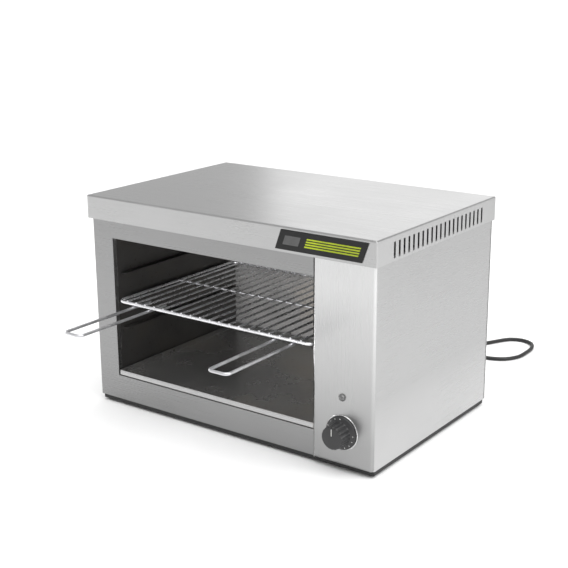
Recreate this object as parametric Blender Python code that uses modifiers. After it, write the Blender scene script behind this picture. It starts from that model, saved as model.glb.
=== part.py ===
"""Countertop open-front grill (cheese melter) with a pull-out wire rack, as an assembly of its real pieces.

The frame is +Z up, X along the front from left to right, and Y from the front to the back. The origin is on
the surface that the feet stand on, midway between the casing's sides, and midway between the rack handles'
tips and the hood's back. Everything is in metres.
"""

import math

import bmesh
import bpy
from mathutils import Matrix, Vector

# Casing
CASE_W = 0.600
CASE_D = 0.388
CASE_H = 0.340
FOOT_H = 0.012
FOOT_R = 0.015
FOOT_X = 0.262
FOOT_INSET = 0.040
SKIRT_DROP = 0.0092
SHEET = 0.0012
LINER = 0.0008
GAP = 0.0003
FLANGE = 0.012
BEND_R = 0.002
HOOD_BEND = 0.0025
CUTTER_REACH = 0.01
QUAD = 4

# Hood
HOOD_H = 0.042
HOOD_SIDE = 0.005
HOOD_FRONT = 0.009
HOOD_BACK = 0.0015
SLOT_COUNT = 21
SLOT_PITCH = 0.0146
SLOT_W = 0.0055
SLOT_H = 0.026
SLOT_START = 0.0435
SLOT_UP = 0.005

# Badge
BADGE_LEFT = 0.1155
BADGE_RIGHT = 0.2795
BADGE_H = 0.033
BADGE_THICK = 0.0016
BADGE_SLANT = 0.012

# Oven mouth and its liner
MOUTH_LEFT = -0.254
MOUTH_RIGHT = 0.185
MOUTH_LOW = 0.046
MOUTH_HIGH = 0.307
LINER_STEP = 0.0015
LINER_DEPTH = 0.352
MOUTH_RETURN = 0.008
CEILING_UP = 0.0155
TRAY_PLAY = 0.0015
TRAY_H = 0.0105

# Rack
RACK_UP = 0.190
RACK_ROD_R = 0.003
RACK_WIRE_R = 0.0020
RACK_BAR_R = 0.0023
WIRE_WELD = 0.00037
WIRE_OVERLAP = 0.001
RACK_WIRES = 19
RACK_SIDE_PLAY = 0.0035
RACK_DEPTH = 0.333
RACK_CORNER_R = 0.012
HANDLE_REACH = 0.1715
HANDLE_R = 0.0028
HANDLE_UNDER = 0.045
HANDLE_W = 0.037
HANDLE_OFFSET = 0.157
HANDLE_BEND = 0.008
LEDGE_PITCH = 0.052
LEDGE_W = 0.012
LEDGE_LEG = 0.010
LEDGE_SHEET = 0.001
LEDGE_FRONT = 0.018
LEDGE_BACK = 0.345

# Controls
PANEL_PROUD = 0.005
PANEL_BEND = 0.0045
KNOB_UP = 0.057
LAMP_UP = 0.117
KNOB_R = 0.0285
KNOB_REACH = 0.029
KNOB_STANDOFF = 0.002
KNOB_SOCKET = 0.018
GRIP_R = 0.0185
BEZEL_R = 0.0305
SHAFT_R = 0.003
SHAFT_DEPTH = 0.010
RUNNING_FIT = 0.00008
BUSH_R = 0.005
BUSH_REACH = 0.0028
REGULATOR_HALF = 0.021
REGULATOR_DEPTH = 0.034
BEZEL_HOLE_R = 0.0085
LAMP_R = 0.0052
LAMP_DEPTH = 0.020

# Elements
ELEMENT_R = 0.00425
ELEMENT_DROP = 0.0125
ELEMENT_LEGS = (0.055, 0.115, 0.195, 0.255)
ELEMENT_END = 0.012
TERMINAL_LENGTH = 0.022
STRIP_HANG = 0.0085

# Mains cord
CORD_D = 0.0075
CORD_X = 0.240
CORD_UP = 0.040
COIL_R = 0.041
COIL_TURNS = 3
COIL_LEAVE = 0.027
GLAND_REACH = 0.034
GLAND_NECK_R = 0.0080
GLAND_FLANGE_R = 0.0110
PLUG_HALF = Vector((0.024, 0.026, 0.017))
PLUG_AWAY = Vector((-0.101, -0.030, 0.0))
PIN_R = 0.0024
PIN_LENGTH = 0.019

# Places worked out from the driving dimensions
FRONT = -(CASE_D + HOOD_BACK - HANDLE_REACH) / 2
BACK = FRONT + CASE_D
BASE = FOOT_H
HALF_W = CASE_W / 2
HOOD_LOW = BASE + CASE_H
TOP = HOOD_LOW + HOOD_H
CASE_TOP = HOOD_LOW + 0.006
MOUTH_Z0 = BASE + MOUTH_LOW
MOUTH_Z1 = BASE + MOUTH_HIGH
SKIRT_Z = BASE - SKIRT_DROP
CEILING = MOUTH_Z1 + CEILING_UP
RACK_Z = BASE + RACK_UP
RACK_X = (MOUTH_LEFT + MOUTH_RIGHT) / 2
PANEL_X = (MOUTH_RIGHT + HALF_W) / 2
KNOB_Z = BASE + KNOB_UP
LAMP_Z = BASE + LAMP_UP
ELEMENT_Z = CEILING - ELEMENT_DROP
GLAND_Z = BASE + CORD_UP
CORD_R = CORD_D / 2
COIL_AT = Vector((-0.070, BACK + 0.125, 0.0))


# ---------------------------------------------------------------- scene and materials


def clear_scene():
    for obj in list(bpy.data.objects):
        bpy.data.objects.remove(obj)


def collection(name, hidden=False):
    made = bpy.data.collections.new(name)
    bpy.context.scene.collection.children.link(made)
    made.hide_render = hidden
    return made


def material(name, colour, roughness, metallic):
    made = bpy.data.materials.new(name)
    made.use_nodes = True
    shader = made.node_tree.nodes["Principled BSDF"]
    shader.inputs["Base Color"].default_value = (*colour, 1.0)
    shader.inputs["Roughness"].default_value = roughness
    shader.inputs["Metallic"].default_value = metallic
    return made


clear_scene()
PARTS = collection("countertop_grill")
CUTTERS = collection("cutters", hidden=True)

STEEL = material("casing_steel", (0.62, 0.62, 0.61), 0.32, 1.0)
LINER_STEEL = material("liner_steel", (0.30, 0.29, 0.28), 0.40, 1.0)
CHROME = material("chrome_wire", (0.78, 0.78, 0.80), 0.12, 1.0)
SKIRT_BLACK = material("base_black", (0.02, 0.02, 0.02), 0.45, 0.0)
RUBBER = material("foot_rubber", (0.02, 0.02, 0.02), 0.80, 0.0)
KNOB_BLACK = material("knob_plastic", (0.02, 0.02, 0.02), 0.35, 0.0)
BADGE_BLACK = material("badge_face", (0.015, 0.015, 0.015), 0.25, 0.0)
LENS = material("lamp_lens", (0.42, 0.10, 0.04), 0.15, 0.0)
SHEATH = material("element_sheath", (0.16, 0.15, 0.15), 0.50, 1.0)
CERAMIC = material("ceramic_white", (0.80, 0.78, 0.72), 0.45, 0.0)
BRASS = material("brass_terminal", (0.70, 0.55, 0.25), 0.30, 1.0)
BLOCK = material("block_plastic", (0.75, 0.73, 0.66), 0.50, 0.0)
CORD_BLACK = material("cord_rubber", (0.02, 0.02, 0.02), 0.55, 0.0)
WIRE_RED = material("wire_insulation", (0.45, 0.05, 0.04), 0.50, 0.0)


# ---------------------------------------------------------------- modelling helpers


def place(obj, paint, into=None):
    """Gives a new object its material and its collection."""
    for home in list(obj.users_collection):
        home.objects.unlink(obj)
    (into or PARTS).objects.link(obj)
    if paint is not None:
        obj.data.materials.clear()
        obj.data.materials.append(paint)
    return obj


def mesh_object(name, shape, paint):
    """Turns a bmesh into an object."""
    bmesh.ops.recalc_face_normals(shape, faces=shape.faces)
    mesh = bpy.data.meshes.new(name)
    shape.to_mesh(mesh)
    shape.free()
    return place(bpy.data.objects.new(name, mesh), paint)


def add_box(shape, low, high):
    """A cube in the bmesh from its low corner to its high corner."""
    low, high = Vector(low), Vector(high)
    size = high - low
    to_place = Matrix.Translation((low + high) / 2) @ Matrix.Diagonal((*size, 1.0))
    return bmesh.ops.create_cube(shape, size=1.0, matrix=to_place)["verts"]


def bevel(obj, width, segments=2, angle=40):
    modifier = obj.modifiers.new("bevel", "BEVEL")
    modifier.width = width
    modifier.segments = segments
    modifier.limit_method = "ANGLE"
    modifier.angle_limit = math.radians(angle)
    return obj


def box(name, low, high, paint, rounded=0.0):
    shape = bmesh.new()
    add_box(shape, low, high)
    obj = mesh_object(name, shape, paint)
    if rounded:
        bevel(obj, rounded)
    return obj


def open_box(name, low, high, open_side, paint, thickness, corner):
    """A folded pan: a box with one side missing, its bends rounded, its sheet thickness inside the box."""
    shape = bmesh.new()
    add_box(shape, low, high)
    shape.normal_update()
    missing = [face for face in shape.faces if face.normal.dot(Vector(open_side)) > 0.9]
    bmesh.ops.delete(shape, geom=missing, context="FACES_ONLY")
    mesh = bpy.data.meshes.new(name)
    shape.to_mesh(mesh)
    shape.free()
    obj = place(bpy.data.objects.new(name, mesh), paint)
    bevel(obj, corner, 3)
    solid = obj.modifiers.new("sheet", "SOLIDIFY")
    solid.thickness = thickness
    solid.offset = -1.0
    return obj


def folded(name, section, low_z, high_z, paint, thickness=SHEET):
    """A sheet folded to the open polyline section, which is in plan, and standing from low_z to high_z."""
    shape = bmesh.new()
    points = [shape.verts.new((x, y, low_z)) for x, y in section]
    edges = [shape.edges.new(pair) for pair in zip(points, points[1:])]
    raised = bmesh.ops.extrude_edge_only(shape, edges=edges)["geom"]
    upper = [item for item in raised if isinstance(item, bmesh.types.BMVert)]
    bmesh.ops.translate(shape, verts=upper, vec=(0, 0, high_z - low_z))
    obj = mesh_object(name, shape, paint)
    solid = obj.modifiers.new("sheet", "SOLIDIFY")
    solid.thickness = thickness
    solid.offset = 0.0
    return obj


def arc(centre, radius, start, stop, steps):
    """Points on a plan arc, angles in degrees."""
    found = []
    for step in range(steps + 1):
        angle = math.radians(start + (stop - start) * step / steps)
        found.append((centre[0] + radius * math.cos(angle), centre[1] + radius * math.sin(angle)))
    return found


def rod(name, start, end, radius, paint, sides=16):
    """A round bar from start to end, with its origin at its middle and its own Z along it."""
    start, end = Vector(start), Vector(end)
    shape = bmesh.new()
    bmesh.ops.create_cone(
        shape,
        cap_ends=True,
        segments=sides,
        radius1=radius,
        radius2=radius,
        depth=(end - start).length,
    )
    for face in shape.faces:
        face.smooth = len(face.verts) == QUAD
    obj = mesh_object(name, shape, paint)
    obj.rotation_mode = "QUATERNION"
    obj.rotation_quaternion = (end - start).to_track_quat("Z", "Y")
    obj.location = (start + end) / 2
    return obj


def turned(name, profile, origin, axis, paint, steps=32):
    """A profile of (radius, height) from the top down, turned about the axis through origin."""
    shape = bmesh.new()
    points = [shape.verts.new((radius, 0.0, height)) for radius, height in profile]
    for pair in zip(points, points[1:]):
        shape.edges.new(pair)
    mesh = bpy.data.meshes.new(name)
    shape.to_mesh(mesh)
    shape.free()
    obj = place(bpy.data.objects.new(name, mesh), paint)
    screw = obj.modifiers.new("turn", "SCREW")
    screw.steps = steps
    screw.render_steps = steps
    screw.use_merge_vertices = True
    screw.merge_threshold = 0.00001
    obj.rotation_mode = "QUATERNION"
    obj.rotation_quaternion = Vector(axis).to_track_quat("Z", "Y")
    obj.location = origin
    return obj


def tube(name, points, radius, paint, closed=False, resolution=2):
    """A round bar or lead along the points."""
    curve = bpy.data.curves.new(name, "CURVE")
    curve.dimensions = "3D"
    curve.bevel_depth = radius
    curve.bevel_resolution = resolution
    curve.use_fill_caps = not closed
    spline = curve.splines.new("POLY")
    spline.points.add(len(points) - 1)
    for place_in, point in zip(spline.points, points):
        place_in.co = (*point, 1.0)
    spline.use_cyclic_u = closed
    return place(bpy.data.objects.new(name, curve), paint)


def as_mesh(obj):
    """The curve as a closed mesh, so that a Boolean can use it."""
    name = obj.name
    graph = bpy.context.evaluated_depsgraph_get()
    mesh = bpy.data.meshes.new_from_object(obj.evaluated_get(graph))
    paint = obj.data.materials[0]
    where = obj.matrix_world.copy()
    bpy.data.objects.remove(obj)
    shape = bmesh.new()
    shape.from_mesh(mesh)
    bmesh.ops.remove_doubles(shape, verts=shape.verts, dist=0.00001)
    made = mesh_object(name, shape, paint)
    made.matrix_world = where
    return made


def cut(obj, *cutters):
    for cutter in cutters:
        modifier = obj.modifiers.new("cut", "BOOLEAN")
        modifier.operation = "DIFFERENCE"
        modifier.object = hide(cutter)
    return obj


def join(obj, *others):
    for other in others:
        modifier = obj.modifiers.new("join", "BOOLEAN")
        modifier.operation = "UNION"
        modifier.object = hide(other)
    return obj


def hide(obj):
    """Keeps a cutter or a joined piece out of the parts."""
    place(obj, None, CUTTERS)
    obj.hide_render = True
    obj.display_type = "WIRE"
    return obj


def smooth_line(route, step):
    """Points about a step apart on the Catmull-Rom curve through the route's points."""
    knots = [Vector(point) for point in route]
    ends = [2 * knots[0] - knots[1], *knots, 2 * knots[-1] - knots[-2]]
    found = []
    for a, b, c, d in zip(ends, ends[1:], ends[2:], ends[3:]):
        parts = max(1, round((c - b).length / step))
        for part in range(parts):
            t = part / parts
            found.append(
                0.5
                * (
                    2 * b
                    + (c - a) * t
                    + (2 * a - 5 * b + 4 * c - d) * t**2
                    + (3 * b - a - 3 * c + d) * t**3
                )
            )
    return [*found, knots[-1]]


# ---------------------------------------------------------------- casing


def make_side(name, side):
    """A side panel with a flange turned in behind the front sheet and one in front of the rear panel."""
    outer = side * (HALF_W - SHEET / 2)
    front = FRONT + SHEET + GAP + SHEET / 2
    back = BACK - SHEET - GAP - SHEET / 2
    inward = outer - side * FLANGE
    radius = BEND_R
    near = arc((outer - side * radius, front + radius), radius, -90, -90 + side * 90, 3)
    far = arc((outer - side * radius, back - radius), radius, 90 - side * 90, 90, 3)
    section = [(inward, front), *near, *far, (inward, back)]
    return folded(name, section, BASE, CASE_TOP, STEEL)


def make_casing():
    make_side("left_side_panel", -1)
    make_side("right_side_panel", 1)

    rear = box("rear_panel", (-HALF_W, BACK - SHEET, BASE), (HALF_W, BACK, CASE_TOP), STEEL)
    gland_hole = rod(
        "gland_hole",
        (CORD_X, BACK - CUTTER_REACH, GLAND_Z),
        (CORD_X, BACK + CUTTER_REACH, GLAND_Z),
        GLAND_NECK_R + GAP,
        None,
        24,
    )
    cut(rear, gland_hole)

    front = box("front_frame", (-HALF_W, FRONT, BASE), (MOUTH_RIGHT - GAP, FRONT + SHEET, CASE_TOP), STEEL)
    mouth = box(
        "mouth_cutter",
        (MOUTH_LEFT, FRONT - CUTTER_REACH, MOUTH_Z0),
        (HALF_W, FRONT + CUTTER_REACH, MOUTH_Z1),
        None,
    )
    cut(front, mouth)
    left, right = MOUTH_LEFT - SHEET, MOUTH_RIGHT - GAP
    near, far = FRONT + SHEET / 2, FRONT + SHEET + MOUTH_RETURN
    returns = [
        box("left_return", (left, near, MOUTH_Z0 - SHEET), (MOUTH_LEFT, far, MOUTH_Z1 + SHEET), None),
        box("low_return", (left, near, MOUTH_Z0 - SHEET), (right, far, MOUTH_Z0), None),
        box("high_return", (left, near, MOUTH_Z1), (right, far, MOUTH_Z1 + SHEET), None),
    ]
    join(front, *returns)

    inside = HALF_W - SHEET - GAP
    setback = 2 * SHEET + 2 * GAP
    open_box(
        "base_pan",
        (-inside, FRONT + setback, SKIRT_Z),
        (inside, BACK - setback, BASE + 0.018),
        (0, 0, 1),
        SKIRT_BLACK,
        SHEET,
        BEND_R,
    )


def make_feet():
    """Four low moulded pads under the base pan."""
    top = SKIRT_Z - GAP
    profile = [(0.0, top), (FOOT_R, top), (FOOT_R, 0.001), (FOOT_R - 0.001, 0.0), (0.0, 0.0)]
    for name, x, y in (
        ("foot_front_left", -FOOT_X, FRONT + FOOT_INSET),
        ("foot_front_right", FOOT_X, FRONT + FOOT_INSET),
        ("foot_back_left", -FOOT_X, BACK - FOOT_INSET),
        ("foot_back_right", FOOT_X, BACK - FOOT_INSET),
    ):
        turned(name, profile, (x, y, 0.0), (0, 0, 1), RUBBER, 24)


def make_hood():
    hood = open_box(
        "hood",
        (-HALF_W - HOOD_SIDE, FRONT - HOOD_FRONT, HOOD_LOW),
        (HALF_W + HOOD_SIDE, BACK + HOOD_BACK, TOP),
        (0, 0, -1),
        STEEL,
        SHEET,
        HOOD_BEND,
    )
    slots = bmesh.new()
    low = HOOD_LOW + SLOT_UP
    for index in range(SLOT_COUNT):
        y = FRONT + SLOT_START + index * SLOT_PITCH
        for side in (-1, 1):
            x = side * (HALF_W + HOOD_SIDE)
            add_box(slots, (x - 0.004, y - SLOT_W / 2, low), (x + 0.004, y + SLOT_W / 2, low + SLOT_H))
    cut(hood, mesh_object("hood_slots", slots, None))


def make_badge():
    """A slanted plate on the hood's front band."""
    low = HOOD_LOW + 0.0045
    shape = bmesh.new()
    add_box(shape, (BADGE_LEFT, 0.0, low), (BADGE_RIGHT, BADGE_THICK, low + BADGE_H))
    for corner in shape.verts:
        if corner.co.z > low + BADGE_H / 2:
            corner.co.x += BADGE_SLANT
    badge = mesh_object("badge_plate", shape, BADGE_BLACK)
    badge.location.y = FRONT - HOOD_FRONT - GAP - BADGE_THICK
    bevel(badge, 0.0004, 1)


# ---------------------------------------------------------------- oven chamber


def make_liner():
    left = MOUTH_LEFT - LINER_STEP
    right = MOUTH_RIGHT + LINER_STEP
    front = FRONT + SHEET + GAP
    back = FRONT + LINER_DEPTH
    low = MOUTH_Z0 + GAP
    high = CEILING - GAP
    box("chamber_left_wall", (left - LINER, front, low), (left, back, high), LINER_STEEL)
    partition = box("chamber_right_wall", (right, front, low), (right + LINER, back, high), LINER_STEEL)
    holes = [
        rod(
            "element_hole",
            (right - 0.01, FRONT + leg, ELEMENT_Z),
            (right + 0.01, FRONT + leg, ELEMENT_Z),
            ELEMENT_R + GAP,
            None,
            16,
        )
        for leg in ELEMENT_LEGS
    ]
    cut(partition, *holes)
    far = back + GAP
    box("chamber_back_wall", (left - LINER, far, low), (right + LINER, far + LINER, high), LINER_STEEL)
    box(
        "heat_reflector",
        (left - LINER, front, CEILING),
        (right + LINER, back + LINER, CEILING + LINER),
        LINER_STEEL,
    )
    box(
        "chamber_floor",
        (left - LINER, front + MOUTH_RETURN, MOUTH_Z0 - LINER),
        (right + LINER, back + LINER, MOUTH_Z0),
        LINER_STEEL,
    )


def make_ledges():
    """Three pairs of angle ledges that the rack can slide on."""
    wall = LINER_STEP - GAP
    for level, word in ((1, "top"), (0, "middle"), (-1, "bottom")):
        top = RACK_Z - RACK_ROD_R - GAP + level * LEDGE_PITCH
        for side, edge in (("left", MOUTH_LEFT - wall), ("right", MOUTH_RIGHT + wall)):
            inward = 1 if side == "left" else -1
            flat = sorted((edge, edge + inward * LEDGE_W))
            upright = sorted((edge, edge + inward * LEDGE_SHEET))
            near, far = FRONT + LEDGE_FRONT, FRONT + LEDGE_BACK
            ledge = box(
                f"{side}_ledge_{word}",
                (flat[0], near, top - LEDGE_SHEET),
                (flat[1], far, top),
                LINER_STEEL,
            )
            leg = box(
                "ledge_leg",
                (upright[0], near, top - LEDGE_LEG),
                (upright[1], far, top - LEDGE_SHEET / 2),
                None,
            )
            join(ledge, leg)


def make_tray():
    open_box(
        "crumb_tray",
        (MOUTH_LEFT + TRAY_PLAY, FRONT + 0.001, MOUTH_Z0 + GAP),
        (MOUTH_RIGHT - TRAY_PLAY, FRONT + LEDGE_BACK, MOUTH_Z0 + TRAY_H),
        (0, 0, 1),
        LINER_STEEL,
        LINER,
        0.0015,
    )


def make_elements():
    """Two hairpin elements under the reflector, their terminals, and the strips that carry them."""
    right = MOUTH_RIGHT + LINER_STEP + LINER
    for name, first, second in (("front_element", 0, 1), ("rear_element", 2, 3)):
        near = FRONT + ELEMENT_LEGS[first]
        far = FRONT + ELEMENT_LEGS[second]
        radius = (far - near) / 2
        bend_x = MOUTH_LEFT + 0.020 + radius
        bend = arc((bend_x, (near + far) / 2), radius, 270, 90, 10)
        plan = [(right + ELEMENT_END, near), *bend, (right + ELEMENT_END, far)]
        tube(name, [(x, y, ELEMENT_Z) for x, y in plan], ELEMENT_R, SHEATH, resolution=3)
    for index, leg in enumerate(ELEMENT_LEGS):
        tip = right + ELEMENT_END + GAP
        y = FRONT + leg
        profile = [
            (0.0, TERMINAL_LENGTH),
            (0.0015, TERMINAL_LENGTH),
            (0.0015, 0.010),
            (0.0035, 0.010),
            (0.0035, 0.0),
            (0.0, 0.0),
        ]
        turned(f"element_terminal_{index + 1}", profile, (tip, y, ELEMENT_Z), (1, 0, 0), CERAMIC, 12)
    for name, x in (("element_strip_left", -0.150), ("element_strip_right", 0.090)):
        strip = box(
            name,
            (x, FRONT + 0.040, ELEMENT_Z - STRIP_HANG),
            (x + 0.0015, FRONT + 0.270, CEILING - GAP),
            LINER_STEEL,
        )
        holes = [
            rod(
                "strip_hole",
                (x - 0.01, FRONT + leg, ELEMENT_Z),
                (x + 0.01, FRONT + leg, ELEMENT_Z),
                ELEMENT_R + GAP,
                None,
                16,
            )
            for leg in ELEMENT_LEGS
        ]
        cut(strip, *holes)


# ---------------------------------------------------------------- rack


def make_rack():
    """The welded grid: a rod frame, a bar across its middle and thin wires from front to back."""
    left = MOUTH_LEFT + RACK_SIDE_PLAY + RACK_ROD_R
    right = MOUTH_RIGHT - RACK_SIDE_PLAY - RACK_ROD_R
    front = FRONT + RACK_ROD_R
    back = front + RACK_DEPTH
    r = RACK_CORNER_R
    outline = [
        *arc((right - r, front + r), r, -90, 0, 4),
        *arc((right - r, back - r), r, 0, 90, 4),
        *arc((left + r, back - r), r, 90, 180, 4),
        *arc((left + r, front + r), r, 180, 270, 4),
    ]
    points = [(x, y, RACK_Z) for x, y in outline]
    frame = as_mesh(tube("rack_grid", points, RACK_ROD_R, CHROME, closed=True))
    middle = front + RACK_DEPTH / 2
    bar = rod("rack_bar", (left, middle, RACK_Z), (right, middle, RACK_Z), RACK_BAR_R, None, 8)
    wire_z = RACK_Z + RACK_ROD_R - WIRE_WELD
    wires = []
    for index in range(1, RACK_WIRES + 1):
        x = left + (right - left) * index / (RACK_WIRES + 1)
        ends = (x, front - WIRE_OVERLAP, wire_z), (x, back + WIRE_OVERLAP, wire_z)
        wires.append(rod("rack_wire", *ends, RACK_WIRE_R, None, 6))
    join(frame, bar, *wires)


def make_handles():
    """Two hairpin handles under the rack's front rod."""
    z = RACK_Z - RACK_ROD_R - HANDLE_R - GAP
    tip = FRONT - HANDLE_REACH + HANDLE_R
    radius = HANDLE_BEND
    for name, side in (("rack_handle_left", -1), ("rack_handle_right", 1)):
        x = RACK_X + side * HANDLE_OFFSET
        low, high = x - HANDLE_W / 2, x + HANDLE_W / 2
        plan = [
            (low, FRONT + HANDLE_UNDER),
            *arc((low + radius, tip + radius), radius, 180, 270, 5),
            *arc((high - radius, tip + radius), radius, 270, 360, 5),
            (high, FRONT + HANDLE_UNDER),
        ]
        tube(name, [(px, py, z) for px, py in plan], HANDLE_R, CHROME, resolution=3)


# ---------------------------------------------------------------- controls


def make_control_panel():
    panel = open_box(
        "control_panel",
        (MOUTH_RIGHT, FRONT - PANEL_PROUD, BASE),
        (HALF_W, FRONT + SHEET, CASE_TOP),
        (0, 1, 0),
        STEEL,
        SHEET,
        PANEL_BEND,
    )
    near, far = FRONT - PANEL_PROUD - CUTTER_REACH, FRONT + CUTTER_REACH
    cut(
        panel,
        rod("shaft_hole", (PANEL_X, near, KNOB_Z), (PANEL_X, far, KNOB_Z), BUSH_R + GAP, None, 24),
        rod("lamp_hole", (PANEL_X, near, LAMP_Z), (PANEL_X, far, LAMP_Z), LAMP_R + GAP, None, 24),
    )


def make_regulator():
    """The heat regulator behind the panel, its turning shaft, the dial's bezel and the knob."""
    inner = FRONT - PANEL_PROUD + SHEET + GAP
    body = box(
        "heat_regulator",
        (PANEL_X - REGULATOR_HALF, inner, KNOB_Z - REGULATOR_HALF),
        (PANEL_X + REGULATOR_HALF, inner + REGULATOR_DEPTH, KNOB_Z + REGULATOR_HALF),
        CERAMIC,
    )
    bush_tip = (PANEL_X, inner - BUSH_REACH, KNOB_Z)
    bush = rod("bush", (PANEL_X, inner + 0.002, KNOB_Z), bush_tip, BUSH_R, None, 24)
    bore_start = (PANEL_X, inner + SHAFT_DEPTH + 0.002, KNOB_Z)
    bore_end = (PANEL_X, inner - CUTTER_REACH, KNOB_Z)
    bore = rod("bore", bore_start, bore_end, SHAFT_R + RUNNING_FIT, None, 24)
    join(body, bush)
    cut(body, bore)

    face = FRONT - PANEL_PROUD
    seat = KNOB_STANDOFF + KNOB_SOCKET
    shaft_tip = face - seat + 0.001
    shaft_ends = (PANEL_X, inner + SHAFT_DEPTH, KNOB_Z), (PANEL_X, shaft_tip, KNOB_Z)
    rod("knob_shaft", *shaft_ends, SHAFT_R, BRASS, 20)

    bezel_profile = [(BEZEL_HOLE_R, 0.001), (BEZEL_R - 0.001, 0.001), (BEZEL_R, 0.0), (BEZEL_HOLE_R, 0.0)]
    bezel_profile.append(bezel_profile[0])
    turned("knob_bezel", bezel_profile, (PANEL_X, face - GAP, KNOB_Z), (0, -1, 0), STEEL, 40)

    profile = [
        (0.0, KNOB_REACH),
        (GRIP_R - 0.0015, KNOB_REACH),
        (GRIP_R, KNOB_REACH - 0.0015),
        (GRIP_R + 0.0010, 0.0060),
        (KNOB_R - 0.0025, 0.0040),
        (KNOB_R, 0.0020),
        (KNOB_R, 0.0),
        (SHAFT_R + GAP, 0.0),
        (SHAFT_R + GAP, KNOB_SOCKET),
        (0.0, KNOB_SOCKET),
    ]
    turned("knob", profile, (PANEL_X, face - KNOB_STANDOFF, KNOB_Z), (0, -1, 0), KNOB_BLACK, 40)


def make_lamp():
    face = FRONT - PANEL_PROUD
    inner = face + SHEET
    lamp_ends = (PANEL_X, face + 0.0002, LAMP_Z), (PANEL_X, inner + LAMP_DEPTH, LAMP_Z)
    rod("lamp_body", *lamp_ends, LAMP_R, BLOCK, 20)
    dome = [(0.0, 0.0050), (0.0028, 0.0045), (0.0048, 0.0032), (0.0060, 0.0010), (0.0065, 0.0), (0.0, 0.0)]
    turned("lamp_lens", dome, (PANEL_X, face - GAP, LAMP_Z), (0, -1, 0), LENS, 24)


# ---------------------------------------------------------------- wiring and cord


def make_terminal_block():
    low = BASE + SHEET + GAP
    box(
        "terminal_block",
        (CORD_X - 0.024, BACK - 0.085, low),
        (CORD_X + 0.024, BACK - 0.063, low + 0.020),
        BLOCK,
        0.001,
    )


def make_inner_wires():
    """Single leads between the block, the regulator, the lamp and the elements' ends."""
    lead = 0.0013
    block_top = BASE + SHEET + GAP + 0.020 + GAP
    block_y = BACK - 0.074
    post_x = MOUTH_RIGHT + LINER_STEP + LINER + ELEMENT_END + 2 * GAP + TERMINAL_LENGTH
    routes = {
        "supply_wire": [
            (CORD_X - 0.014, block_y, block_top + lead),
            (CORD_X - 0.014, block_y - 0.030, block_top + 0.030),
            (CORD_X - 0.016, FRONT + 0.120, KNOB_Z + 0.012),
            (PANEL_X - 0.010, FRONT + 0.033, KNOB_Z + 0.010),
        ],
        "neutral_wire": [
            (CORD_X + 0.002, block_y, block_top + lead),
            (CORD_X + 0.004, block_y + 0.006, block_top + 0.080),
            (CORD_X, FRONT + 0.280, ELEMENT_Z - 0.060),
            (CORD_X - 0.010, FRONT + ELEMENT_LEGS[3], ELEMENT_Z),
            (post_x + lead, FRONT + ELEMENT_LEGS[3], ELEMENT_Z),
        ],
        "link_wire": [
            (post_x + lead, FRONT + ELEMENT_LEGS[1], ELEMENT_Z),
            (post_x + 0.012, FRONT + 0.130, ELEMENT_Z),
            (post_x + 0.016, FRONT + 0.155, ELEMENT_Z),
            (post_x + 0.012, FRONT + 0.180, ELEMENT_Z),
            (post_x + lead, FRONT + ELEMENT_LEGS[2], ELEMENT_Z),
        ],
        "regulated_wire": [
            (PANEL_X + 0.008, FRONT + 0.033, KNOB_Z + 0.010),
            (PANEL_X + 0.010, FRONT + 0.050, KNOB_Z + 0.040),
            (PANEL_X + 0.006, FRONT + 0.056, ELEMENT_Z - 0.070),
            (PANEL_X - 0.014, FRONT + ELEMENT_LEGS[0], ELEMENT_Z),
            (post_x + lead, FRONT + ELEMENT_LEGS[0], ELEMENT_Z),
        ],
        "lamp_wire": [
            (PANEL_X, FRONT + 0.0185, LAMP_Z),
            (PANEL_X - 0.002, FRONT + 0.036, LAMP_Z - 0.012),
            (PANEL_X, FRONT + 0.040, KNOB_Z + 0.030),
            (PANEL_X, FRONT + 0.033, KNOB_Z + 0.014),
        ],
    }
    for name, route in routes.items():
        tube(name, smooth_line(route, 0.012), lead, WIRE_RED, resolution=1)


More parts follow.
